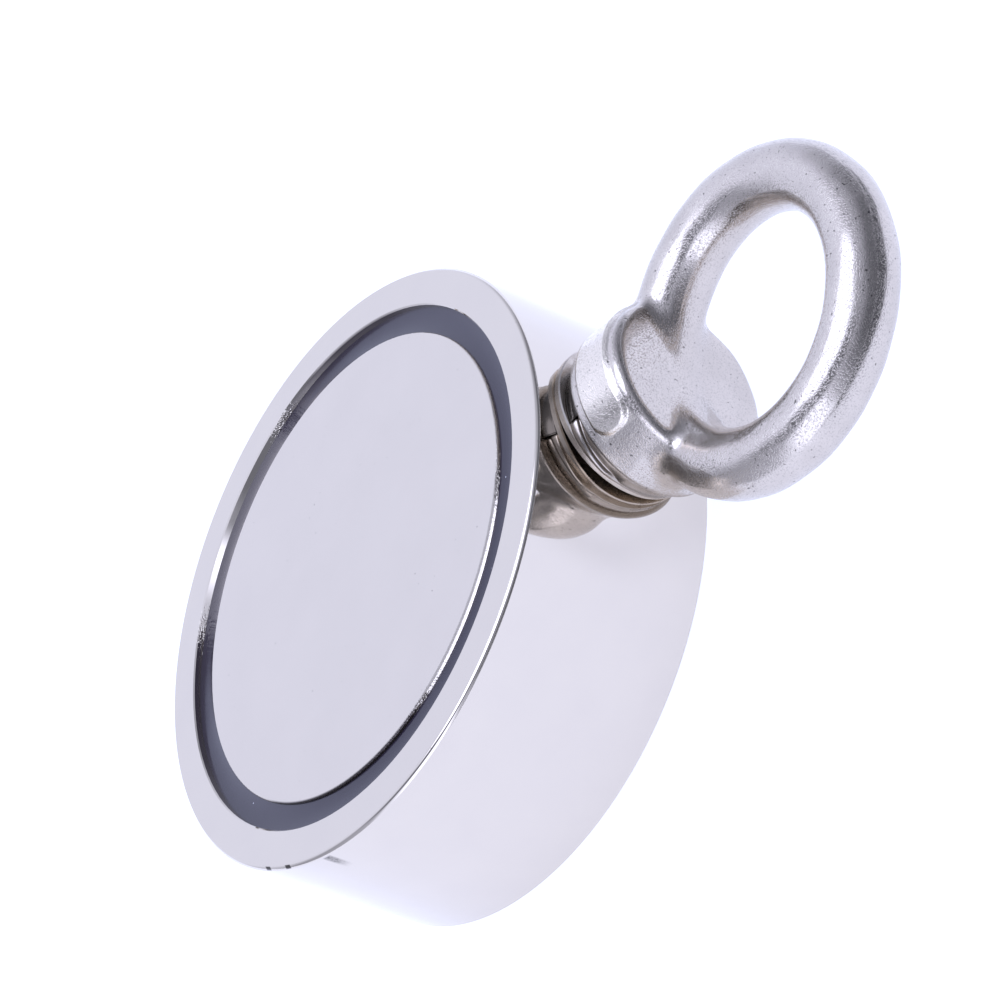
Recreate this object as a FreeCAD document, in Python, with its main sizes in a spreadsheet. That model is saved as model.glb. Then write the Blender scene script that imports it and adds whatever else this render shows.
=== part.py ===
import FreeCAD, Part
import os
import Sketcher
from FreeCAD import Placement, Rotation, Vector

# A double-sided magnet for magnet fishing. A turned steel housing holds one disc magnet in each
# face, bedded on a bond layer and sealed by a ring of potting resin. An M10 eyebolt, with a spring
# washer and a flat washer under its collar, screws into a tapped hole in the housing's side.
#
# Frame: the origin is the centre of the rear face, +Z is the disc's axis towards the front face,
# and +X runs out along the eyebolt. Lengths are in millimetres and angles in degrees.

SIZES = [
    # the housing
    ("body_radius", 37.5, "outer radius of the housing"),
    ("body_thickness", 25.0, "from the rear face to the front face"),
    ("body_chamfer", 0.5, "chamfer on both outer edges"),
    ("rim_inner_radius", 32.7, "inner wall of the rim around each magnet"),
    ("rim_lip", 0.15, "broken inner edge of the rim"),
    ("pocket_depth", 6.1, "from a face down to the web"),
    ("drill_depth", 17.5, "depth of the hole in the side"),
    ("tap_depth", 16.0, "depth of its thread"),
    ("tap_clearance", 0.1, "how much wider than nominal the tapped thread is"),
    # the magnets and what holds them
    ("magnet_radius", 29.4, "disc magnet"),
    ("magnet_thickness", 5.5, "disc magnet"),
    ("magnet_recess", 0.4, "how far a magnet sits below the rim"),
    ("magnet_edge", 0.35, "rounded edge of a magnet"),
    ("resin_recess", 1.15, "level of the resin below the rim"),
    ("resin_climb", 0.2, "how far the resin climbs its two walls"),
    # the washers
    ("flat_washer_radius", 9.9, "flat washer"),
    ("flat_washer_hole", 6.4, "radius of the flat washer's hole, a size too large for the shank"),
    ("flat_washer_height", 1.0, "flat washer"),
    ("flat_washer_shift", 1.3, "how far the loose flat washer lies off the eyebolt's axis, towards +Y"),
    ("spring_washer_radius", 9.3, "spring washer"),
    ("spring_washer_hole", 5.15, "radius of the spring washer's hole"),
    ("spring_washer_height", 2.5, "spring washer, pressed flat"),
    ("washer_edge", 0.15, "broken outer edges of both washers"),
    ("split_width", 1.2, "gap between the spring washer's ends"),
    ("split_slant", 25.0, "slant of the spring washer's ends"),
    ("split_turn", 17.5, "where the split faces, from the front face towards -Y"),
    # the eyebolt
    ("shank_length", 18.0, "from the collar's seat to the tip"),
    ("shank_plain", 2.3, "unthreaded neck under the collar"),
    ("shank_tip", 1.0, "chamfer at the tip"),
    ("thread_pitch", 1.5, "M10 coarse thread"),
    ("thread_radius", 4.92, "crest of the eyebolt's thread"),
    ("thread_root", 4.02, "root of the eyebolt's thread"),
    ("thread_flat", 0.16, "width of a crest of the eyebolt's thread"),
    ("thread_flank", 30.0, "slope of a flank of the thread"),
    ("collar_radius", 10.5, "collar"),
    ("collar_height", 8.5, "from the collar's seat to its top"),
    ("collar_top_round", 1.2, "rounded top edge of the collar"),
    ("collar_seat_round", 0.4, "rounded lower edge of the collar"),
    ("ring_height", 21.0, "from the collar's seat to the ring's centre"),
    ("ring_radius", 16.5, "centre line of the ring"),
    ("ring_section", 4.05, "radius of the ring's round section"),
    ("ring_root", 1.5, "fillet where the ring grows out of the collar"),
    ("pad_height", 0.3, "blank raised pad on the collar's side"),
    ("pad_start", 1.3, "from the collar's seat to the pad"),
    ("pad_width", 5.4, "pad, along the eyebolt"),
    ("pad_angle", 76.0, "pad, around the collar"),
    ("pad_corner", 2.3, "rounded corners of the pad"),
    ("rest_turn", 6.5, "how far the tight eyebolt's ring stands off the disc's plane"),
]

GROOVE_START_TURNS = 11   # the thread's groove starts this many pitches inside the housing's side
GROOVE_OVERSHOOT = 0.5    # how far the groove's cutter stands out of the shank

doc = FreeCAD.newDocument("FishingMagnet")
sheet = doc.addObject("Spreadsheet::Sheet", "Size")
size = {}
for row, (alias, value, meaning) in enumerate(SIZES, start=1):
    sheet.set(f"A{row}", meaning)
    sheet.set(f"B{row}", str(value))
    sheet.setAlias(f"B{row}", alias)
    size[alias] = value
doc.recompute()

WASHERS_MEET = "Size.body_radius + Size.flat_washer_height"
SEAT = f"({WASHERS_MEET} + Size.spring_washer_height)"


# ---------------------------------------------------------------- helpers

def new_body(name):
    """A PartDesign body whose label is the sub-part's name."""
    body = doc.addObject("PartDesign::Body", name)
    body.Label = name
    return body


def origin_plane(body, role):
    """One of a body's own origin planes, as an attachment support."""
    plane = next(item for item in body.Origin.OriginFeatures if item.Role == role)
    return [(plane, "")]


def new_sketch(body, name, role):
    """A sketch on one of the body's own origin planes."""
    sketch = body.newObject("Sketcher::SketchObject", name)
    sketch.AttachmentSupport = origin_plane(body, role)
    sketch.MapMode = "FlatFace"
    return sketch


def dimension(sketch, kind, name, expression, *where):
    """A named driving constraint bound to an expression."""
    index = sketch.addConstraint(Sketcher.Constraint(kind, *where, 1.0))
    sketch.renameConstraint(index, name)
    sketch.setExpression("Constraints." + name, expression)


def place_point(sketch, label, geometry, vertex, across, up):
    """Fix a point of the sketch by two expressions; "0" puts it on the axis."""
    if across == "0":
        sketch.addConstraint(Sketcher.Constraint("PointOnObject", geometry, vertex, -2))
    else:
        dimension(sketch, "DistanceX", f"across_{label}", across, -1, 1, geometry, vertex)
    if up == "0":
        sketch.addConstraint(Sketcher.Constraint("PointOnObject", geometry, vertex, -1))
    else:
        dimension(sketch, "DistanceY", f"up_{label}", up, -1, 1, geometry, vertex)


def add_outline(sketch, corners, closed=True):
    """Straight lines through the corners; each corner is a pair of expressions."""
    sides = len(corners) if closed else len(corners) - 1
    for side in range(sides):
        start = Vector(side, side * side, 0)
        end = Vector(side + 1, (side + 1) ** 2, 0)
        sketch.addGeometry(Part.LineSegment(start, end), False)
    for side in range(1, sides):
        sketch.addConstraint(Sketcher.Constraint("Coincident", side - 1, 2, side, 1))
    if closed:
        sketch.addConstraint(Sketcher.Constraint("Coincident", sides - 1, 2, 0, 1))
    for index, (across, up) in enumerate(corners):
        line, vertex = (index, 1) if index < sides else (index - 1, 2)
        place_point(sketch, str(index), line, vertex, across, up)


def add_circle(sketch, radius, up="0"):
    """A circle centred on the sketch's vertical axis."""
    circle = sketch.addGeometry(Part.Circle(Vector(0, 1, 0), Vector(0, 0, 1), 1.0), False)
    place_point(sketch, "centre", circle, 3, "0", up)
    dimension(sketch, "Radius", "radius", radius, circle)


def bind(item, **expressions):
    """Bind an object's properties to expressions; a double underscore stands for a dot."""
    for name, expression in expressions.items():
        item.setExpression(name.replace("__", "."), expression)


def revolve(body, name, sketch, axis):
    """Turn a sketch about one of its own axes: a full turn unless it is bound to less."""
    feature = body.newObject("PartDesign::Revolution", name)
    feature.Profile = sketch
    feature.ReferenceAxis = (sketch, [axis])
    doc.recompute()
    return feature


def edge_names(feature, test):
    """Names of the feature's edges that pass a test."""
    return [f"Edge{index}" for index, edge in enumerate(feature.Shape.Edges, start=1) if test(edge)]


def circle_at(edge, radius, along_x):
    """Whether an edge is a circle of a radius about the X axis, at a place along it."""
    if not isinstance(edge.Curve, Part.Circle):
        return False
    return abs(edge.Curve.Radius - radius) < 1e-3 and abs(edge.Curve.Center.x - along_x) < 1e-3


def round_edges(body, name, base, edges, radius):
    """A fillet on some edges of a feature."""
    feature = body.newObject("PartDesign::Fillet", name)
    feature.Base = (base, edges)
    bind(feature, Radius=radius)
    doc.recompute()
    return feature


def put_on_bolt_axis(body, turn):
    """Sit a piece, made about its own X axis, on the eyebolt's axis, turned about it."""
    body.Placement = Placement(Vector(0, 0, 0), Rotation(Vector(1, 0, 0), 0))
    bind(body, Placement__Base__z="Size.body_thickness / 2", Placement__Rotation__Axis__x="1",
         Placement__Rotation__Axis__z="0", Placement__Rotation__Angle=turn)


def put_in_pocket(body, face):
    """Sit a piece, made upwards from a pocket's floor, in the front or the rear pocket."""
    if face == "front":
        bind(body, Placement__Base__z="Size.body_thickness - Size.pocket_depth")
    else:
        body.Placement = Placement(Vector(0, 0, 0), Rotation(Vector(1, 0, 0), 180))
        bind(body, Placement__Base__z="Size.pocket_depth")


# ---------------------------------------------------------------- the housing

def make_housing():
    """One turned piece: a web between two shallow pockets, with a tapped hole in its side."""
    body = new_body("housing")
    section = new_sketch(body, "HousingSection", "XZ_Plane")
    rear_half = [
        ("0", "Size.pocket_depth"),
        ("Size.rim_inner_radius", "Size.pocket_depth"),
        ("Size.rim_inner_radius", "Size.rim_lip"),
        ("Size.rim_inner_radius + Size.rim_lip", "0"),
        ("Size.body_radius - Size.body_chamfer", "0"),
        ("Size.body_radius", "Size.body_chamfer"),
    ]
    front_half = [(across, f"Size.body_thickness - {up}") for across, up in reversed(rear_half)]
    add_outline(section, rear_half + front_half)
    revolve(body, "TurnedBody", section, "V_Axis")

    mouth = new_sketch(body, "HoleCentre", "YZ_Plane")
    bind(mouth, AttachmentOffset__Base__z="Size.body_radius")
    add_circle(mouth, "Size.thread_radius", "Size.body_thickness / 2")
    doc.recompute()
    hole = body.newObject("PartDesign::Hole", "TappedHole")
    hole.Profile = mouth
    doc.recompute()
    hole.ThreadType = "ISOMetricProfile"
    hole.ThreadSize = "M10x1.5"
    hole.Threaded = True
    hole.DepthType = "Dimension"
    hole.ThreadDepthType = "Dimension"
    hole.DrillPoint = "Angled"
    hole.ModelThread = True
    hole.UseCustomThreadClearance = True
    bind(hole, Depth="Size.drill_depth", ThreadDepth="Size.tap_depth",
         CustomThreadClearance="Size.tap_clearance")
    doc.recompute()


# ---------------------------------------------------------------- what fills the two pockets

BOND = "(Size.pocket_depth - Size.magnet_recess - Size.magnet_thickness)"


def make_disc(name, face, low, length):
    """A disc as wide as the magnet, standing off the pocket's floor."""
    body = new_body(f"{face}_{name}")
    outline = new_sketch(body, f"Outline_{body.Name}", "XY_Plane")
    bind(outline, AttachmentOffset__Base__z=low)
    add_circle(outline, "Size.magnet_radius")
    disc = body.newObject("PartDesign::Pad", f"Disc_{body.Name}")
    disc.Profile = outline
    bind(disc, Length=length)
    doc.recompute()
    return body, disc


def make_bond_layer(face):
    """The thin layer of adhesive under a magnet."""
    body, _ = make_disc("bond_layer", face, "0", BOND)
    put_in_pocket(body, face)


def make_magnet(face):
    """A plated disc magnet with rounded edges."""
    body, disc = make_disc("magnet", face, BOND, "Size.magnet_thickness")
    rims = edge_names(disc, lambda edge: isinstance(edge.Curve, Part.Circle))
    round_edges(body, f"Edges_{body.Name}", disc, rims, "Size.magnet_edge")
    put_in_pocket(body, face)


def make_resin_ring(face):
    """Potting resin between a magnet and its rim; its surface is hollow between the two walls."""
    body = new_body(f"{face}_resin_ring")
    section = new_sketch(body, f"Section_{body.Name}", "XZ_Plane")
    inner, outer = "Size.magnet_radius", "Size.rim_inner_radius"
    edge = "Size.pocket_depth - Size.resin_recess + Size.resin_climb"
    add_outline(section, [(inner, edge), (inner, "0"), (outer, "0"), (outer, edge)], closed=False)
    doc.recompute()

    left, right = section.getPoint(0, 1), section.getPoint(2, 2)
    lowest = (left + right) / 2 - Vector(0, size["resin_climb"], 0)
    hollow = section.addGeometry(Part.Arc(left, lowest, right), False)
    starts_left = (section.getPoint(hollow, 1) - left).Length < 1e-6
    first, last = (1, 2) if starts_left else (2, 1)
    section.addConstraint(Sketcher.Constraint("Coincident", hollow, first, 0, 1))
    section.addConstraint(Sketcher.Constraint("Coincident", hollow, last, 2, 2))
    half = f"(({outer} - {inner}) / 2)"
    radius = f"({half} ^ 2 + Size.resin_climb ^ 2) / (2 * Size.resin_climb)"
    dimension(section, "Radius", "hollow", radius, hollow)
    revolve(body, f"Ring_{body.Name}", section, "V_Axis")
    put_in_pocket(body, face)


# ---------------------------------------------------------------- the washers

def washer_section(low, high, inner, outer):
    """Half section of a washer along the X axis, with its outer edges broken."""
    return [
        (low, inner),
        (high, inner),
        (high, f"{outer} - Size.washer_edge"),
        (f"{high} - Size.washer_edge", outer),
        (f"{low} + Size.washer_edge", outer),
        (low, f"{outer} - Size.washer_edge"),
    ]


def make_flat_washer():
    """A thin washer, loose on the shank, that touches the housing's round side along one line."""
    body = new_body("flat_washer")
    section = new_sketch(body, "FlatWasherSection", "XY_Plane")
    inner, outer = "Size.flat_washer_hole", "Size.flat_washer_radius"
    add_outline(section, washer_section("Size.body_radius", WASHERS_MEET, inner, outer))
    revolve(body, "FlatWasher", section, "H_Axis")
    put_on_bolt_axis(body, "0")
    bind(body, Placement__Base__y="Size.flat_washer_shift")


def make_spring_washer():
    """A washer with one slanted split, pressed flat by the tight eyebolt."""
    body = new_body("spring_washer")
    section = new_sketch(body, "SpringWasherSection", "XY_Plane")
    inner, outer = "Size.spring_washer_hole", "Size.spring_washer_radius"
    add_outline(section, washer_section(WASHERS_MEET, SEAT, inner, outer))
    whole = revolve(body, "SpringWasher", section, "H_Axis")

    slot = new_sketch(body, "Split", "XY_Plane")
    half = "Size.split_width / 2"
    lean = "Size.spring_washer_height / 2 * tan(Size.split_slant * 1 deg)"
    add_outline(slot, [
        (WASHERS_MEET, f"-({half}) - {lean}"),
        (SEAT, f"-({half}) + {lean}"),
        (SEAT, f"{half} + {lean}"),
        (WASHERS_MEET, f"{half} - {lean}"),
    ])
    cut = body.newObject("PartDesign::Pocket", "SplitCut")
    cut.Profile = slot
    cut.Reversed = True
    bind(cut, Length="Size.spring_washer_radius + Size.split_width")
    doc.recompute()
    expect_less(cut, whole)
    put_on_bolt_axis(body, "Size.split_turn")


# ---------------------------------------------------------------- the eyebolt

def make_eyebolt():
    """A forged ring and collar on a threaded shank."""
    body = new_body("eyebolt")
    collar = add_shank_and_collar(body)
    ring = add_ring(body, collar)
    add_pad(body, ring)
    cut_thread(body)
    put_on_bolt_axis(body, "Size.rest_turn")


def add_shank_and_collar(body):
    section = new_sketch(body, "ShankAndCollar", "XY_Plane")
    tip = f"{SEAT} - Size.shank_length"
    top = f"{SEAT} + Size.collar_height"
    add_outline(section, [
        (tip, "0"),
        (tip, "Size.thread_radius - Size.shank_tip"),
        (f"{tip} + Size.shank_tip", "Size.thread_radius"),
        (SEAT, "Size.thread_radius"),
        (SEAT, "Size.collar_radius"),
        (top, "Size.collar_radius"),
        (top, "0"),
    ])
    blank = revolve(body, "TurnedBlank", section, "H_Axis")

    seat = size["body_radius"] + size["flat_washer_height"] + size["spring_washer_height"]
    top_edge = edge_names(
        blank, lambda edge: circle_at(edge, size["collar_radius"], seat + size["collar_height"]))
    collar = round_edges(body, "CollarTop", blank, top_edge, "Size.collar_top_round")
    seat_edge = edge_names(collar, lambda edge: circle_at(edge, size["collar_radius"], seat))
    return round_edges(body, "CollarSeat", collar, seat_edge, "Size.collar_seat_round")


def add_ring(body, collar):
    """The ring, whose lowest part is sunk in the collar, with fillets where it comes out."""
    ring = body.newObject("PartDesign::AdditiveTorus", "Ring")
    ring.AttachmentSupport = origin_plane(body, "XY_Plane")
    ring.MapMode = "FlatFace"
    bind(ring, Radius1="Size.ring_radius", Radius2="Size.ring_section",
         AttachmentOffset__Base__x=f"{SEAT} + Size.ring_height")
    doc.recompute()
    roots = edge_names(ring, lambda edge: isinstance(edge.Curve, Part.BSplineCurve))
    return round_edges(body, "RingRoots", ring, roots, "Size.ring_root")


def add_pad(body, ring):
    """A blank raised pad on the side of the collar that the ring's flat side faces."""
    section = new_sketch(body, "PadSection", "XZ_Plane")
    low = f"{SEAT} + Size.pad_start"
    high = f"{low} + Size.pad_width"
    sunk = "Size.collar_radius - Size.pad_height"
    proud = "Size.collar_radius + Size.pad_height"
    add_outline(section, [(low, sunk), (high, sunk), (high, proud), (low, proud)])
    plain = revolve(body, "PlainPad", section, "H_Axis")
    plain.Midplane = True
    bind(plain, Angle="Size.pad_angle")
    doc.recompute()
    corners = edge_names(plain, is_pad_corner)
    round_edges(body, "PadCorners", plain, corners, "Size.pad_corner")


def is_pad_corner(edge):
    """Whether an edge is one of the pad's four short radial edges."""
    return isinstance(edge.Curve, Part.Line) and abs(edge.Length - size["pad_height"]) < 1e-3


def cut_thread(body):
    """A right-hand M10 thread that meets the housing's, up to the plain neck under the collar."""
    groove = new_sketch(body, "ThreadGroove", "XY_Plane")
    turned = f"(Size.rest_turn / 360 - {GROOVE_START_TURNS})"
    start = f"(Size.body_radius + Size.thread_pitch * {turned})"
    slope = "tan(Size.thread_flank * 1 deg)"
    crest = "(Size.thread_pitch - Size.thread_flat) / 2"
    root = f"({crest} - (Size.thread_radius - Size.thread_root) * {slope})"
    mouth = f"({crest} + {GROOVE_OVERSHOOT} * {slope})"
    outside = f"Size.thread_radius + {GROOVE_OVERSHOOT}"
    add_outline(groove, [
        (f"{start} - {root}", "Size.thread_root"),
        (f"{start} + {root}", "Size.thread_root"),
        (f"{start} + {mouth}", outside),
        (f"{start} - {mouth}", outside),
    ])
    uncut = body.Tip
    thread = body.newObject("PartDesign::SubtractiveHelix", "Thread")
    thread.Profile = groove
    thread.ReferenceAxis = (groove, ["H_Axis"])
    thread.Mode = "pitch-height-angle"
    bind(thread, Pitch="Size.thread_pitch", Height=f"{SEAT} - Size.shank_plain - {start}")
    doc.recompute()
    expect_less(thread, uncut)


# ---------------------------------------------------------------- build, check and export

def expect_less(cut, before):
    """Stop if a cut took nothing away."""
    if cut.Shape.Volume >= before.Shape.Volume:
        raise RuntimeError(f"{cut.Name} removed nothing")


def check_and_export():
    """Stop on any failed object or bad shape, then write each sub-part."""
    doc.recompute()
    for item in doc.Objects:
        if "Invalid" in item.State or "Error" in item.State:
            raise RuntimeError(f"{item.Name} failed: {item.State}")
    bodies = [item for item in doc.Objects if item.TypeId == "PartDesign::Body"]
    for body in bodies:
        if body.Shape.isNull() or not body.Shape.isValid() or len(body.Shape.Solids) != 1:
            raise RuntimeError(f"{body.Label} isn't one valid solid")
    os.makedirs("parts", exist_ok=True)
    for body in bodies:
        body.Shape.exportStep(f"parts/{body.Label}.step")
        print(f"{body.Label}: {body.Shape.Volume:.1f} mm3")


make_housing()
for face in ("front", "rear"):
    make_bond_layer(face)
    make_magnet(face)
    make_resin_ring(face)
make_flat_washer()
make_spring_washer()
make_eyebolt()
check_and_export()
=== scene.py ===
import math

import bmesh
import bpy
import numpy as np
from mathutils import Matrix, Vector


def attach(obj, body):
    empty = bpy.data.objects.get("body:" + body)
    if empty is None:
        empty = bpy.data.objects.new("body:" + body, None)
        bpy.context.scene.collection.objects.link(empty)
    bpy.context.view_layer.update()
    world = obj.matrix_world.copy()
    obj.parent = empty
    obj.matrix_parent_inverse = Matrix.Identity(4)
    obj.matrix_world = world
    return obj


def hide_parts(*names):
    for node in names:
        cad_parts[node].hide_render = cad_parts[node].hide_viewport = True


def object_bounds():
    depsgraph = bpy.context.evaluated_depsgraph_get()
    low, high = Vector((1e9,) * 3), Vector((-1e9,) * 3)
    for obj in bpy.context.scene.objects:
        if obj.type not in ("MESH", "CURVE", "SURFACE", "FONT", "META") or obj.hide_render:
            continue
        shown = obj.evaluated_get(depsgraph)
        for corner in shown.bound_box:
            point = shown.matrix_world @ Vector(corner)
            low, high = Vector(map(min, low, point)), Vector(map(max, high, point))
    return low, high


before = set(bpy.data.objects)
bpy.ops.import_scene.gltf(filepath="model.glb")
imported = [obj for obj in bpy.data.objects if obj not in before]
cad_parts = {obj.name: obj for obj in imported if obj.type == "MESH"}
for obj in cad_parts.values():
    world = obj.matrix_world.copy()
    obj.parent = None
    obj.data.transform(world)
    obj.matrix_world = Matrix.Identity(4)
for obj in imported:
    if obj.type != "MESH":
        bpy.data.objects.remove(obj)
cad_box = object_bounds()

# A round, double-sided salvage magnet with an eyebolt in its side. The scene is in metres, in the
# CAD's frame: the disc stands on z = 0 with its axis along Z, and the eyebolt's axis runs along X.
MM = 0.001
DISC_MIDDLE = 12.5       # mm, height of the disc's middle and of the eyebolt's axis
BODY_RADIUS = 37.5       # mm, the housing's outside
BODY_CHAMFER = 0.5       # mm, on its outer edges

# ---------------------------------------------------------------- camera and studio

CAMERA_AIM = Vector((0.01443, 0.00532, 0.0125))   # a point inside the disc
CAMERA_DISTANCE = 0.4604
CAMERA_BACK = Vector((0.62157, -0.59900, 0.50482))   # from the disc to the camera
CAMERA_RIGHT = Vector((0.59669, -0.0555, -0.80055))  # the camera is rolled by about 68 degrees
CAMERA_LENS = 139.96

# The floor is a white light table: partly lit from above, partly glowing
FLOOR_HALF_WIDTH = 3.0
FLOOR_COLOUR = (0.28, 0.28, 0.28)
FLOOR_GLOW = 0.98

# The studio's light is a cool lavender white. The warm metals bring it back to a neutral grey, and
# where one reflects another, to brown.
LIGHT_COLOUR = (0.90, 0.968, 1.268)

# Brightness of the studio's walls by azimuth in degrees from +X towards +Y. They are grey with a pale
# wall opposite the disc's face and one soft box, as seen in bright metal.
STUDIO_WALLS = [(0, 0.20), (40, 0.20), (66, 0.34), (88, 0.72), (108, 1.05), (120, 1.12), (166, 1.12),
                (180, 0.85), (196, 0.50), (228, 0.60), (244, 1.30), (256, 2.1), (274, 2.1), (290, 0.7),
                (304, 0.26), (332, 0.17), (360, 0.20)]
# The walls' least brightness by elevation in degrees, and the ceiling above them
WALL_HAZE = [(8, 0.0), (50, 0.64)]
WALLS_END, CEILING_STARTS = 54, 63
CEILING = [(54, 0.88), (61, 0.95), (68, 3.0), (90, 3.2)]
# A dark beam under the ceiling, behind the soft box: azimuths and elevations where it fades in and out
BEAM_AZIMUTHS, BEAM_ELEVATIONS, BEAM_BRIGHTNESS = (178, 214, 318, 352), (43, 48, 66, 73), 0.24

# A dark card lying beside the eyebolt, seen only in the metal: how far its edge is from the disc's
# axis, and its turn in degrees
CARD_EDGE = 102 * MM
CARD_TURN = -11.0
CARD_SIZE = 0.8
CARD_LIFT = 0.2 * MM
CARD_BRIGHTNESS = 0.14


def make_camera():
    back = CAMERA_BACK.normalized()
    right = (CAMERA_RIGHT - back * CAMERA_RIGHT.dot(back)).normalized()
    turn = Matrix((right, back.cross(right), back)).transposed()
    data = bpy.data.cameras.new("studio_camera")
    data.lens = CAMERA_LENS
    data.sensor_width = 36.0
    data.clip_start = 0.01
    data.clip_end = 50.0
    camera = bpy.data.objects.new("studio_camera", data)
    camera.matrix_world = Matrix.Translation(CAMERA_AIM + back * CAMERA_DISTANCE) @ turn.to_4x4()
    bpy.context.scene.collection.objects.link(camera)
    bpy.context.scene.camera = camera


def make_floor():
    bpy.ops.mesh.primitive_plane_add(size=2 * FLOOR_HALF_WIDTH, location=(0, 0, cad_box[0].z))
    floor = bpy.context.active_object
    floor.name = "studio_floor"
    material, nodes = new_material("studio_floor")
    shader = nodes.shader
    shader.inputs["Base Color"].default_value = (*FLOOR_COLOUR, 1)
    shader.inputs["Roughness"].default_value = 0.9
    shader.inputs["Specular IOR Level"].default_value = 0.1
    shader.inputs["Emission Color"].default_value = (*LIGHT_COLOUR, 1)
    shader.inputs["Emission Strength"].default_value = FLOOR_GLOW
    floor.data.materials.append(material)


def make_dark_card():
    """Studio cards give bright metal its dark streaks. This one is out of the camera's sight."""
    turn = Matrix.Rotation(math.radians(CARD_TURN), 4, "Z")
    middle = turn @ Vector((CARD_EDGE + CARD_SIZE / 2, 0, CARD_LIFT))
    bpy.ops.mesh.primitive_plane_add(size=CARD_SIZE, location=middle, rotation=turn.to_euler())
    card = bpy.context.active_object
    card.name = "studio_dark_card"
    card.visible_camera = False
    card.visible_diffuse = False
    card.visible_shadow = False
    material, nodes = new_material("studio_dark_card")
    nodes.shader.inputs["Base Color"].default_value = (0, 0, 0, 1)
    nodes.shader.inputs["Specular IOR Level"].default_value = 0
    nodes.shader.inputs["Emission Color"].default_value = (*LIGHT_COLOUR, 1)
    nodes.shader.inputs["Emission Strength"].default_value = CARD_BRIGHTNESS
    card.data.materials.append(material)


def make_world():
    world = bpy.data.worlds.new("studio")
    bpy.context.scene.world = world
    world.use_nodes = True
    nodes = Nodes(world.node_tree)
    for node in list(world.node_tree.nodes):
        world.node_tree.nodes.remove(node)
    direction = nodes.add("ShaderNodeTexCoord").outputs["Generated"]
    part = nodes.add("ShaderNodeSeparateXYZ", {"Vector": direction}).outputs
    azimuth = nodes.math("DIVIDE", nodes.math("ARCTAN2", part["Y"], part["X"]), math.tau)
    azimuth = nodes.math("FRACT", nodes.math("ADD", azimuth, 1.0))
    elevation = nodes.math("DEGREES", nodes.math("ARCSINE", part["Z"]))
    walls = nodes.steps(azimuth, [(angle / 360, value) for angle, value in STUDIO_WALLS])
    ceiling = nodes.steps(elevation, CEILING)
    walls = nodes.math("MAXIMUM", walls, nodes.steps(elevation, WALL_HAZE))
    above = nodes.map_range(elevation, WALLS_END, CEILING_STARTS, 0, 1, smooth=True)
    beam = nodes.math("MULTIPLY", nodes.between(azimuth, [angle / 360 for angle in BEAM_AZIMUTHS]),
                      nodes.between(elevation, BEAM_ELEVATIONS))
    radiance = nodes.mix(beam, nodes.mix(above, walls, ceiling), BEAM_BRIGHTNESS)
    background = nodes.add("ShaderNodeBackground", {"Strength": radiance})
    background.inputs["Color"].default_value = (*LIGHT_COLOUR, 1)
    nodes.add("ShaderNodeOutputWorld", {"Surface": background.outputs[0]})


# ---------------------------------------------------------------- material nodes

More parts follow.
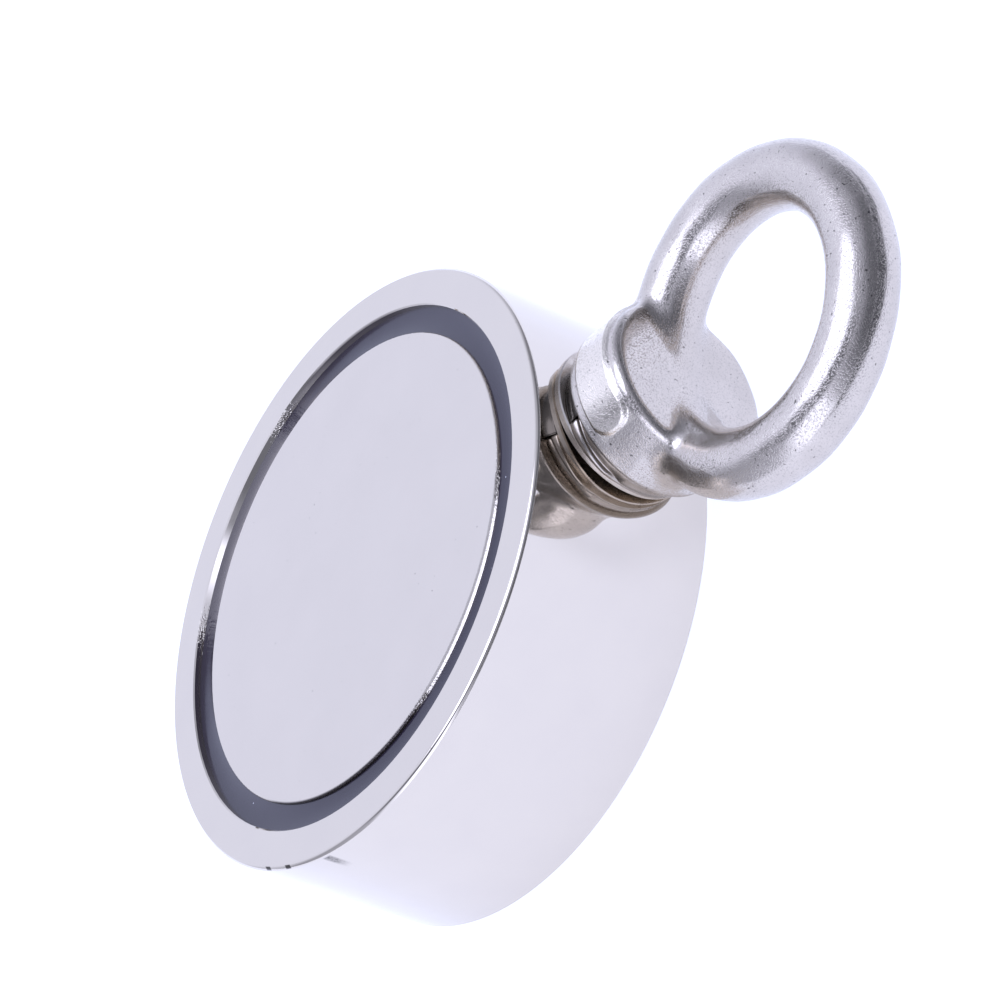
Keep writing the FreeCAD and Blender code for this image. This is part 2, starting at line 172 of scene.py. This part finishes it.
class Nodes:
    """Short calls for building a node tree."""

    def __init__(self, tree):
        self.tree = tree
        self.shader = tree.nodes.get("Principled BSDF")

    def add(self, kind, inputs=None, **settings):
        node = self.tree.nodes.new(kind)
        for key, value in settings.items():
            setattr(node, key, value)
        for key, value in (inputs or {}).items():
            self.feed(node.inputs[key], value)
        return node

    def feed(self, socket, value):
        if isinstance(value, bpy.types.NodeSocket):
            self.tree.links.new(value, socket)
        else:
            socket.default_value = value

    def map_range(self, value, low, high, start, end, smooth=False):
        node = self.add("ShaderNodeMapRange", {"Value": value, "From Min": low, "From Max": high,
                                               "To Min": start, "To Max": end})
        node.interpolation_type = "SMOOTHSTEP" if smooth else "LINEAR"
        return node.outputs["Result"]

    def spread(self, noise, start, end):
        """Spreads a noise, most of which lies between 0.3 and 0.7, from start to end."""
        return self.map_range(noise, 0.3, 0.7, start, end)

    def steps(self, value, stops):
        """A value that eases from stop to stop: each stop is where, and how much."""
        result = stops[0][1]
        for (low, _), (high, end) in zip(stops, stops[1:]):
            result = self.mix(self.map_range(value, low, high, 0, 1, smooth=True), result, end)
        return result

    def between(self, value, edges):
        """1 between the two middle edges, easing to 0 at the outer two."""
        rise = self.map_range(value, edges[0], edges[1], 0, 1, smooth=True)
        return self.math("MULTIPLY", rise, self.map_range(value, edges[2], edges[3], 1, 0, smooth=True))

    def mix(self, factor, first, second):
        node = self.add("ShaderNodeMix", data_type="FLOAT")
        for index, value in ((0, factor), (2, first), (3, second)):
            self.feed(node.inputs[index], value)
        return node.outputs[0]

    def mix_colour(self, factor, first, second):
        node = self.add("ShaderNodeMix", data_type="RGBA")
        for index, value in ((0, factor), (6, first), (7, second)):
            self.feed(node.inputs[index], (*value, 1) if isinstance(value, tuple) else value)
        return node.outputs[2]

    def math(self, operation, *values):
        node = self.add("ShaderNodeMath", operation=operation)
        for index, value in enumerate(values):
            self.feed(node.inputs[index], value)
        return node.outputs[0]

    def place(self):
        """The point on the object, in metres in the CAD's frame."""
        return self.add("ShaderNodeTexCoord").outputs["Object"]

    def height(self, place):
        return self.add("ShaderNodeSeparateXYZ", {"Vector": place}).outputs["Z"]

    def around_disc(self, place):
        """Distance from the disc's axis, azimuth in degrees, and depth below the nearer face."""
        part = self.add("ShaderNodeSeparateXYZ", {"Vector": place}).outputs
        radius = self.math("SQRT", self.math("ADD", self.math("POWER", part["X"], 2.0),
                                             self.math("POWER", part["Y"], 2.0)))
        azimuth = self.math("DEGREES", self.math("ARCTAN2", part["Y"], part["X"]))
        from_middle = self.math("ABSOLUTE", self.math("SUBTRACT", part["Z"], DISC_MIDDLE * MM))
        return radius, azimuth, self.math("SUBTRACT", DISC_MIDDLE * MM, from_middle)

    def flare(self, azimuth, speck, window):
        """1 inside a window of azimuth, with ends that a noise makes ragged."""
        ragged = self.math("ADD", azimuth, self.map_range(speck, 0.2, 0.8, -RAGGED, RAGGED))
        return self.between(ragged, window)

    def angle_around_bolt(self, place):
        """Degrees around the eyebolt's axis, from +Y towards +Z."""
        part = self.add("ShaderNodeSeparateXYZ", {"Vector": place}).outputs
        height = self.math("SUBTRACT", part["Z"], DISC_MIDDLE * MM)
        return self.math("DEGREES", self.math("ARCTAN2", height, part["Y"]))

    def noise(self, place, size, detail=2.0, roughness=0.5):
        """Noise whose blobs are about size metres across, from 0 to 1."""
        node = self.add("ShaderNodeTexNoise", {"Vector": place, "Scale": 1 / size, "Detail": detail,
                                               "Roughness": roughness})
        return node.outputs["Fac"]

    def bump(self, height, distance, strength=1.0, under=None):
        inputs = {"Height": height, "Distance": distance, "Strength": strength}
        if under is not None:
            inputs["Normal"] = under
        return self.add("ShaderNodeBump", inputs).outputs["Normal"]


def new_material(name):
    material = bpy.data.materials.new(name)
    material.use_nodes = True
    return material, Nodes(material.node_tree)


# Marks, wear and painted shade, by azimuth in degrees around the disc: where each starts, is full, and
# ends
EDGE_NICKS = (-118.4, -111.7)          # the middles of two nicks in the front rim's outer edge
NICK_WIDTH, NICK_FADE = 1.2, 0.4
SMUDGE_AT = -100.3                     # the middle of a smudge on the wall below them
SMUDGE_WIDTH, SMUDGE_FADE = 0.9, 1.0
SMUDGE_DEPTHS = (0.5, 0.8, 1.4, 4.4)   # mm below the front face
RIM_FLARE = (110, 115, 161, 166)       # on the rim's inner wall
MAGNET_FLARE = (-66, -62, -16, -8)     # on the magnet's wall, and its dark stretch beside it
# Over this span the magnet's wall is darkened with painted shade: its dark reflection of the resin
MAGNET_PAINTED_SHADE_ARC = (-130, -122, -69, -64)
RAGGED = 7                             # degrees by which the flares' ends wander
RIM_FLARE_SLOPE, MAGNET_FLARE_SLOPE = 1.07, 1.43
RIM_WALL_ENDS = (33.0, 33.1)           # mm from the disc's axis: the rim's inner wall lies inside
MAGNET_WALL_STARTS = (29.1, 29.3)      # mm from the disc's axis: the magnet's wall lies outside
EDGE_ROUNDING = 480.0                  # per metre: how strongly the outer edges are rounded
NICKED_BAND = (0.3, 0.4)               # mm: how near to the edge's middle the nicks are

# Base colours. The first of a pair is clouded with the second.
HOUSING_NICKEL = (0.662, 0.603, 0.530), (0.676, 0.616, 0.538)
MAGNET_NICKEL = (0.650, 0.592, 0.524), (0.668, 0.608, 0.538)
# The second colour on the next line is painted shade for the dark stretch of the magnet's wall
MAGNET_SPECK, MAGNET_PAINTED_SHADE_COLOUR = (0.33, 0.31, 0.27), (0.08, 0.07, 0.07)
MARK_COLOUR = (0.09, 0.08, 0.07)
RESIN, RESIN_FLECK = (0.027, 0.021, 0.038), (0.45, 0.45, 0.5)
ADHESIVE = (0.05, 0.05, 0.06), (0.08, 0.08, 0.09)
FLAT_WASHER_STEEL = (0.70, 0.64, 0.57), (0.52, 0.46, 0.40)
SPRING_STEEL = (0.48, 0.43, 0.38), (0.36, 0.31, 0.26)
BLUED_STEEL = (0.12, 0.11, 0.10)       # the spring washer's free end
FORGED_STEEL = (0.580, 0.527, 0.472), (0.625, 0.568, 0.508)
# The second colour on the next line is painted shade for the collar's edge at its seat
WORN_PAD, SEAT_PAINTED_SHADE = (0.80, 0.73, 0.64), (0.30, 0.27, 0.24)
FORGED_GRAIN, FORGED_PIT = (0.22, 0.20, 0.18), (0.11, 0.10, 0.09)


def mark_window(middle, width, fade):
    """Azimuths where a mark starts, is full, and ends."""
    half = width / 2
    return middle - half - fade, middle - half, middle + half, middle + half + fade


def nickel_plating():
    """Bright nickel over turned and polished steel: a near mirror with a faint haze. Its outer edges
    are polished round and nicked in two places, and the rim's inner wall is flared on one side."""
    material, nodes = new_material("polished_nickel")
    place = nodes.place()
    haze = nodes.noise(place, 6 * MM, 3)
    speck = nodes.noise(place, 0.25 * MM, 2)
    radius, azimuth, depth = nodes.around_disc(place)
    across = nodes.math("SUBTRACT", nodes.math("ADD", radius, depth), BODY_RADIUS * MM)
    bulge = nodes.math("SUBTRACT", (BODY_CHAMFER * MM) ** 2, nodes.math("POWER", across, 2.0))
    on_edge = nodes.map_range(bulge, *[(mm * MM) ** 2 for mm in NICKED_BAND], 0, 1)
    nick = nodes.map_range(speck, 0.70, 0.76, 0, 0.6)
    for middle in EDGE_NICKS:
        window = mark_window(middle, NICK_WIDTH, NICK_FADE)
        nick = nodes.math("MAXIMUM", nick, nodes.between(azimuth, window))
    smudge = nodes.between(azimuth, mark_window(SMUDGE_AT, SMUDGE_WIDTH, SMUDGE_FADE))
    smudge = nodes.math("MULTIPLY", smudge, nodes.between(depth, [mm * MM for mm in SMUDGE_DEPTHS]))
    smudge = nodes.math("MULTIPLY", smudge, nodes.map_range(speck, 0.35, 0.6, 0.95, 0.55))
    in_front = nodes.map_range(nodes.height(place), (DISC_MIDDLE - 0.5) * MM, (DISC_MIDDLE + 0.5) * MM,
                               0, 1)
    marks = nodes.math("MAXIMUM", nodes.math("MULTIPLY", nick, on_edge), smudge)
    marks = nodes.math("MULTIPLY", marks, in_front)
    colour = nodes.mix_colour(nodes.spread(haze, 0, 1), *HOUSING_NICKEL)
    nodes.feed(nodes.shader.inputs["Base Color"], nodes.mix_colour(marks, colour, MARK_COLOUR))
    nodes.feed(nodes.shader.inputs["Roughness"], nodes.spread(haze, 0.035, 0.06))
    rounding = nodes.math("MULTIPLY", nodes.math("MAXIMUM", bulge, 0.0), EDGE_ROUNDING)
    flare = nodes.math("MULTIPLY", nodes.flare(azimuth, speck, RIM_FLARE), depth)
    slope = nodes.map_range(radius, *[mm * MM for mm in RIM_WALL_ENDS], RIM_FLARE_SLOPE, 0)
    flare = nodes.math("MULTIPLY", flare, slope)
    shape = nodes.bump(nodes.math("ADD", rounding, flare), 1.0)
    nodes.feed(nodes.shader.inputs["Normal"], nodes.bump(haze, 1.5e-6, under=shape))
    nodes.shader.inputs["Metallic"].default_value = 1
    return material


def magnet_plating():
    """The magnets' nickel: as bright as the housing's and a little more clouded, with a gritty wall
    that is flared on one side and darkened beside that with painted shade, its dark reflection of the
    resin."""
    material, nodes = new_material("magnet_nickel")
    place = nodes.place()
    cloud = nodes.noise(place, 9 * MM, 4, 0.6)
    speck = nodes.noise(place, 0.6 * MM, 1)
    grit = nodes.noise(place, 0.25 * MM, 2)
    radius, azimuth, depth = nodes.around_disc(place)
    colour = nodes.mix_colour(nodes.spread(cloud, 0, 1), *MAGNET_NICKEL)
    on_wall = nodes.map_range(radius, *[mm * MM for mm in MAGNET_WALL_STARTS], 0, 1)
    # Painted shade: the wall is darkened over one span of azimuth, where it reflects the dark resin
    painted_shade = nodes.math("MULTIPLY", nodes.between(azimuth, MAGNET_PAINTED_SHADE_ARC), on_wall)
    colour = nodes.mix_colour(painted_shade, colour, MAGNET_PAINTED_SHADE_COLOUR)
    nodes.feed(nodes.shader.inputs["Base Color"],
               nodes.mix_colour(nodes.map_range(speck, 0.76, 0.80, 0, 0.5), colour, MAGNET_SPECK))
    nodes.feed(nodes.shader.inputs["Roughness"],
               nodes.mix(on_wall, nodes.spread(cloud, 0.05, 0.09), 0.2))
    flare = nodes.math("MULTIPLY", nodes.flare(azimuth, grit, MAGNET_FLARE), depth)
    flare = nodes.math("MULTIPLY", flare, nodes.math("MULTIPLY", on_wall, MAGNET_FLARE_SLOPE))
    roughened = nodes.math("MULTIPLY", nodes.math("MULTIPLY", grit, on_wall), 8e-5)
    shape = nodes.bump(nodes.math("ADD", flare, roughened), 1.0)
    nodes.feed(nodes.shader.inputs["Normal"], nodes.bump(cloud, 3e-6, under=shape))
    nodes.shader.inputs["Metallic"].default_value = 1
    return material


def potting_resin():
    """Glossy dark blue-grey epoxy with a faint swell and a few tiny pale specks."""
    material, nodes = new_material("potting_resin")
    place = nodes.place()
    swell = nodes.noise(place, 5 * MM, 2)
    fleck = nodes.noise(place, 0.5 * MM, 1)
    nodes.feed(nodes.shader.inputs["Base Color"],
               nodes.mix_colour(nodes.map_range(fleck, 0.80, 0.83, 0, 1), RESIN, RESIN_FLECK))
    nodes.feed(nodes.shader.inputs["Roughness"], nodes.spread(swell, 0.10, 0.2))
    nodes.feed(nodes.shader.inputs["Normal"], nodes.bump(swell, 2e-5))
    nodes.shader.inputs["Specular IOR Level"].default_value = 0.55
    return material


def adhesive_film():
    """The thin dark adhesive under a magnet."""
    material, nodes = new_material("adhesive_film")
    mottle = nodes.noise(nodes.place(), 1 * MM, 2)
    nodes.feed(nodes.shader.inputs["Base Color"], nodes.mix_colour(mottle, *ADHESIVE))
    nodes.shader.inputs["Roughness"].default_value = 0.5
    return material


def washer_steel(name, light, dark, blued=None):
    """Stamped washer steel: warm grey, with a stain and fine stamping lines around its edge. An arc of
    it can be blued dark, from one to another angle in degrees around the eyebolt."""
    material, nodes = new_material(name)
    place = nodes.place()
    stain = nodes.noise(place, 2.5 * MM, 3)
    along = nodes.add("ShaderNodeVectorMath", {0: place, 1: (8, 0.6, 0.6)}, operation="MULTIPLY")
    lines = nodes.noise(along.outputs[0], 0.7 * MM, 2)
    colour = nodes.mix_colour(nodes.map_range(stain, 0.35, 0.65, 0, 1), light, dark)
    if blued:
        start, end = blued
        arc = nodes.between(nodes.angle_around_bolt(place), (start, start + 25, end - 0.5, end + 0.5))
        colour = nodes.mix_colour(arc, colour, BLUED_STEEL)
    nodes.feed(nodes.shader.inputs["Base Color"], colour)
    nodes.feed(nodes.shader.inputs["Roughness"], nodes.spread(stain, 0.18, 0.32))
    nodes.feed(nodes.shader.inputs["Normal"], nodes.bump(lines, 1.2e-5))
    nodes.shader.inputs["Metallic"].default_value = 1
    return material


def forged_steel():
    """Forged steel, blasted and then tumbled bright: smooth high spots between fine pits, which are
    left dark. The raised pad is worn brighter, and the collar's edge at its seat has painted shade."""
    material, nodes = new_material("forged_steel")
    place = nodes.place()
    grain = nodes.noise(place, 0.19 * MM, 2, 0.6)
    dents = nodes.noise(place, 1.5 * MM, 2)
    wear = nodes.noise(place, 4 * MM, 3)
    pit = nodes.noise(place, 0.45 * MM, 1)
    x = nodes.add("ShaderNodeSeparateXYZ", {"Vector": place}).outputs["X"]
    angle = nodes.math("SUBTRACT", 90 + RING_TURN, nodes.angle_around_bolt(place))
    pad_ends = (PAD_START - 3, PAD_START, PAD_END, PAD_END + 3)
    pad_edges = (PAD_FROM - 0.2, PAD_FROM + 0.1, PAD_TO - 0.1, PAD_TO + 0.2)
    pad = nodes.math("MULTIPLY", nodes.between(angle, pad_ends),
                     nodes.between(x, [mm * MM for mm in pad_edges]))
    colour = nodes.mix_colour(nodes.map_range(wear, 0.35, 0.65, 0, 1), *FORGED_STEEL)
    colour = nodes.mix_colour(pad, colour, WORN_PAD)
    # Painted shade in the crease where the collar meets the washers: darker towards the seat
    seat_shade_mask = nodes.map_range(x, (SEAT + 0.1) * MM, (SEAT + 0.7) * MM, 0.6, 0)
    colour = nodes.mix_colour(seat_shade_mask, colour, SEAT_PAINTED_SHADE)
    colour = nodes.mix_colour(nodes.map_range(grain, 0.34, 0.46, 0.26, 0), colour, FORGED_GRAIN)
    nodes.feed(nodes.shader.inputs["Base Color"],
               nodes.mix_colour(nodes.map_range(pit, 0.71, 0.76, 0, 0.8), colour, FORGED_PIT))
    nodes.feed(nodes.shader.inputs["Roughness"], nodes.spread(wear, 0.11, 0.19))
    soft = nodes.bump(dents, 2e-5)
    nodes.feed(nodes.shader.inputs["Normal"],
               nodes.bump(nodes.map_range(grain, 0.30, 0.50, 0, 1), 1.6e-5, under=soft))
    nodes.shader.inputs["Metallic"].default_value = 1
    return material


# ---------------------------------------------------------------- the eyebolt

SEAT = 41.0              # mm, x of the collar's underside
COLLAR_RADIUS, COLLAR_TOP = 10.5, 49.5
COLLAR_TOP_ROUND, COLLAR_SEAT_ROUND = 1.2, 0.35
RING_CENTRE, RING_RADIUS, RING_SECTION = 62.0, 16.5, 4.05
RING_TURN = 6.5          # degrees that the ring stands off the disc's plane
BLEND_EDGE, BLEND_SADDLE = 1.7, 0.6   # how softly the ring grows out of the collar, and at its middle
SADDLE_REACH = 4.5       # mm from the middle where the one gives way to the other
PAD_HEIGHT, PAD_EDGE = 0.5, 0.35      # the blank raised pad on the collar's side
PAD_FROM, PAD_TO = 42.5, 47.9         # mm, its lower and upper edge along the eyebolt
PAD_START, PAD_END = -38.0, 84.0      # degrees around the collar from the ring's normal
PAD_CORNER = 2.2
PAD_FADE = 7.0, 9.0      # mm from the eyebolt's axis: the pad is only on the collar's outside
SWELL_HEIGHT = 0.03      # mm, the forging's unevenness
SWELL_FADE = 0.8, 3.0    # mm above the seat, which is flat
HEAD_VOXEL = 0.26
SEAT_SKIN = 0.02         # mm below the seat: the CAD's faces above it are the head's
SHANK_SINK = 0.5         # mm, how far the shank's copy reaches into the head


def smooth_step(value, low, high):
    share = np.clip((value - low) / (high - low), 0, 1)
    return share * share * (3 - 2 * share)


def smooth_union(first, second, softness):
    share = np.clip(0.5 + 0.5 * (second - first) / softness, 0, 1)
    return second * (1 - share) + first * share - softness * share * (1 - share)


def bolt_frame(points):
    """Points in mm as (along the eyebolt, across it in the ring's plane, along the ring's normal)."""
    turn = math.radians(RING_TURN)
    y, z = points[:, 1], points[:, 2] - DISC_MIDDLE
    return points[:, 0], y * math.cos(turn) + z * math.sin(turn), z * math.cos(turn) - y * math.sin(turn)


def distance_to_ring(x, across, normal):
    around = np.hypot(x - RING_CENTRE, across) - RING_RADIUS
    return np.hypot(around, normal) - RING_SECTION


def distance_to_collar(x, across, normal):
    middle, half = (SEAT + COLLAR_TOP) / 2, (COLLAR_TOP - SEAT) / 2
    edge = np.where(x > middle, COLLAR_TOP_ROUND, COLLAR_SEAT_ROUND)
    out_x = np.abs(x - middle) - half + edge
    out_r = np.hypot(across, normal) - COLLAR_RADIUS + edge
    outside = np.hypot(np.maximum(out_x, 0), np.maximum(out_r, 0))
    return np.minimum(np.maximum(out_x, out_r), 0) + outside - edge


def pad_relief(x, across, normal):
    """Height of the raised pad at a point, in mm."""
    angle = np.degrees(np.arctan2(across, normal))
    middle, half = (PAD_START + PAD_END) / 2, math.radians(PAD_END - PAD_START) / 2 * COLLAR_RADIUS
    out_a = np.abs(np.radians(angle - middle)) * COLLAR_RADIUS - half + PAD_CORNER
    out_x = np.abs(x - (PAD_FROM + PAD_TO) / 2) - (PAD_TO - PAD_FROM) / 2 + PAD_CORNER
    beyond = np.hypot(np.maximum(out_a, 0), np.maximum(out_x, 0)) + np.minimum(np.maximum(out_a, out_x), 0)
    inside = smooth_step(PAD_CORNER - beyond, -PAD_EDGE / 2, PAD_EDGE / 2)
    return PAD_HEIGHT * inside * smooth_step(np.hypot(across, normal), *PAD_FADE)


def forging_swell(x, across, normal):
    """The slight unevenness of a tumbled forging, in mm."""
    waves = np.sin(0.83 * x + 1.1) * np.sin(0.71 * across) + np.sin(0.47 * across + 0.9 * normal)
    return SWELL_HEIGHT * waves


def head_distance(points):
    x, across, normal = bolt_frame(points)
    softness = BLEND_EDGE + (BLEND_SADDLE - BLEND_EDGE) * np.exp(-(across / SADDLE_REACH) ** 4)
    collar = distance_to_collar(x, across, normal) - pad_relief(x, across, normal)
    head = smooth_union(distance_to_ring(x, across, normal), collar, softness)
    return head - forging_swell(x, across, normal) * smooth_step(x, SEAT + SWELL_FADE[0],
                                                                    SEAT + SWELL_FADE[1])


def pull_onto_surface(points, distance, rounds=5, step=0.02):
    """Moves points along the distance's slope until they lie on the surface where it is zero."""
    for _ in range(rounds):
        value = distance(points)
        slope = np.stack([distance(points + step * axis) - distance(points - step * axis)
                          for axis in np.eye(3)], axis=1) / (2 * step)
        points = points - slope * (value / np.maximum((slope ** 2).sum(axis=1), 0.2))[:, None]
    return points


def mesh_points(mesh):
    points = np.empty(len(mesh.vertices) * 3)
    mesh.vertices.foreach_get("co", points)
    return points.reshape(-1, 3)


def set_mesh_points(mesh, points):
    mesh.vertices.foreach_set("co", points.ravel())
    mesh.update()


def make_head():
    """The ring and collar as one skin, blended where the ring grows out of the collar."""
    along_x = Matrix.Rotation(math.radians(90), 4, "Y")
    turned = Matrix.Rotation(math.radians(RING_TURN), 4, "X")
    bpy.ops.mesh.primitive_torus_add(major_radius=RING_RADIUS * MM, minor_radius=RING_SECTION * MM,
                                     major_segments=128, minor_segments=40)
    ring = bpy.context.active_object
    ring.matrix_world = Matrix.Translation((RING_CENTRE * MM, 0, DISC_MIDDLE * MM)) @ turned
    bpy.ops.mesh.primitive_cylinder_add(radius=COLLAR_RADIUS * MM, depth=(COLLAR_TOP - SEAT) * MM,
                                        vertices=128)
    collar = bpy.context.active_object
    collar.matrix_world = Matrix.Translation(((SEAT + COLLAR_TOP) / 2 * MM, 0,
                                              DISC_MIDDLE * MM)) @ along_x
    ring.select_set(True)
    collar.select_set(True)
    bpy.context.view_layer.objects.active = ring
    bpy.ops.object.join()
    bpy.ops.object.transform_apply(location=True, rotation=True, scale=True)
    remesh = ring.modifiers.new("skin", "REMESH")
    remesh.mode = "VOXEL"
    remesh.voxel_size = HEAD_VOXEL * MM
    bpy.ops.object.modifier_apply(modifier="skin")
    points = pull_onto_surface(mesh_points(ring.data) / MM, head_distance)
    set_mesh_points(ring.data, points * MM)
    return ring


def close_inside_head(body):
    """Carries the shank's open end into the head's solid and closes it there."""
    rim = [edge for edge in body.edges if edge.is_boundary
           and all(vert.co.x > (SEAT - SEAT_SKIN) * MM for vert in edge.verts)]
    sunk = {}

    def sink(vert):
        spot = (round(vert.co.y / MM, 4), round(vert.co.z / MM, 4))
        if spot not in sunk:
            sunk[spot] = body.verts.new(vert.co + Vector((SHANK_SINK * MM, 0, 0)))
        return sunk[spot]

    for edge in rim:
        loop = edge.link_loops[0]
        start, end = loop.vert, loop.link_loop_next.vert
        body.faces.new((end, start, sink(start), sink(end)))
    around = sorted(sunk, key=lambda spot: math.atan2(spot[1] - DISC_MIDDLE, spot[0]))
    body.faces.new([sunk[spot] for spot in around])


def make_eyebolt(material):
    head = make_head()
    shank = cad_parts["eyebolt"].data.copy()
    body = bmesh.new()
    body.from_mesh(shank)
    head_faces = [face for face in body.faces if face.calc_center_median().x > (SEAT - SEAT_SKIN) * MM]
    bmesh.ops.delete(body, geom=head_faces, context="FACES")
    close_inside_head(body)
    body.to_mesh(shank)
    body.free()
    threaded = bpy.data.objects.new("shank", shank)
    bpy.context.scene.collection.objects.link(threaded)
    shank.materials.clear()
    for polygon in head.data.polygons:
        polygon.use_smooth = True
    bpy.ops.object.select_all(action="DESELECT")
    head.select_set(True)
    threaded.select_set(True)
    bpy.context.view_layer.objects.active = head
    bpy.ops.object.join()
    head.name = "eyebolt_forging"
    head.data.materials.clear()
    head.data.materials.append(material)
    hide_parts("eyebolt")
    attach(head, "eyebolt")


# ---------------------------------------------------------------- the spring washer

SPRING_INNER = 5.15
SPRING_FOOT, SPRING_BROW = 9.15, 9.65   # mm, outer radius at the foot of the wire and at its top
SPRING_SEAT = 38.5        # mm, x of the flat washer's top
SPRING_THICKNESS = 2.42
SPRING_SPLIT = 108.0      # degrees from +Y towards +Z, where the coil stops
SPRING_GAP = 1.4          # degrees between its ends
SPRING_EDGE = 0.2         # rounded edges of the wire
SPRING_STEPS = 240
BLUED_ARC = (10, SPRING_SPLIT)   # degrees, the free end's dark arc
# The lap in the wire's face: a tongue that starts at one end of the coil and thins out around it
LAP_TURN = 55.0           # degrees that the tongue reaches
LAP_HEIGHT = 1.25         # mm, the tongue's height at the wire's end
LAP_PROUD = 0.28          # mm, how far the tongue stands out
LAP_LEAN = 0.45           # mm, how far the wire's face leans back above the tongue


def spring_section(from_end):
    """The wire's outline as (height, radius) in mm, at an angle in degrees from the lapped end: up the
    bore, across the top, down the leaning face, and over the tongue to the foot."""
    share = max(0.0, 1 - from_end / LAP_TURN)
    tongue = LAP_HEIGHT * (0.32 * min(1.0, share * 6) + 0.68 * share ** 2.2)
    proud = LAP_PROUD * min(1.0, share * 4)
    back = LAP_LEAN * min(1.0, share * 4)
    foot = SPRING_FOOT + proud
    brow = SPRING_BROW - back
    top, low = SPRING_THICKNESS, SPRING_EDGE
    step, ease = low + tongue, min(1.0, share * 4)
    return [
        (0.0, SPRING_INNER + low), (low * 0.3, SPRING_INNER + low * 0.3), (low, SPRING_INNER),
        (top - low, SPRING_INNER), (top - low * 0.3, SPRING_INNER + low * 0.3), (top, SPRING_INNER + low),
        (top, brow - low), (top - low * 0.3, brow - low * 0.3), (top - low, brow),
        (step + 0.30, SPRING_FOOT + 0.3 * (brow - SPRING_FOOT)),
        (step + 0.20 - 0.10 * ease, foot - proud * 1.35), (step + 0.15 - 0.13 * ease, foot - proud * 0.9),
        (step + 0.10 - 0.16 * ease, foot - proud * 0.25), (step + 0.06 - 0.22 * ease, foot),
        (low + 0.02 + tongue * 0.4, foot + proud * 0.15),
        (low, foot), (low * 0.3, foot - low * 0.3), (0.0, foot - low),
    ]


def make_spring_washer(material):
    """A split coil, pressed nearly flat, with a lap in its outer face beside the split."""
    mesh = bmesh.new()
    rings = []
    turn = 360 - SPRING_GAP
    for step in range(SPRING_STEPS + 1):
        passed = turn * step / SPRING_STEPS
        angle = math.radians(SPRING_SPLIT - passed)
        rings.append([mesh.verts.new(Vector((SPRING_SEAT + height, radius * math.cos(angle),
                                             DISC_MIDDLE + radius * math.sin(angle))) * MM)
                      for height, radius in spring_section(turn - passed)])
    count = len(rings[0])
    for ring, following in zip(rings, rings[1:]):
        for index in range(count):
            after = (index + 1) % count
            mesh.faces.new((ring[index], ring[after], following[after], following[index]))
    mesh.faces.new(rings[0])
    mesh.faces.new(list(reversed(rings[-1])))
    bmesh.ops.recalc_face_normals(mesh, faces=mesh.faces)
    for face in mesh.faces:
        face.smooth = len(face.verts) == 4
    data = bpy.data.meshes.new("spring_washer_coil")
    mesh.to_mesh(data)
    mesh.free()
    coil = bpy.data.objects.new("spring_washer_coil", data)
    bpy.context.scene.collection.objects.link(coil)
    data.materials.append(material)
    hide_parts("spring_washer")
    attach(coil, "washers")


# ---------------------------------------------------------------- the scene

def dress(name, material):
    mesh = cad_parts[name].data
    mesh.materials.clear()
    mesh.materials.append(material)


bpy.context.scene.view_settings.view_transform = "Standard"
make_camera()
make_floor()
make_dark_card()
make_world()
make_eyebolt(forged_steel())
make_spring_washer(washer_steel("spring_steel", *SPRING_STEEL, BLUED_ARC))

dress("housing", nickel_plating())
dress("flat_washer", washer_steel("washer_steel", *FLAT_WASHER_STEEL))
plating, resin, film = magnet_plating(), potting_resin(), adhesive_film()
for side in ("front", "rear"):
    dress(f"{side}_magnet", plating)
    dress(f"{side}_resin_ring", resin)
    dress(f"{side}_bond_layer", film)
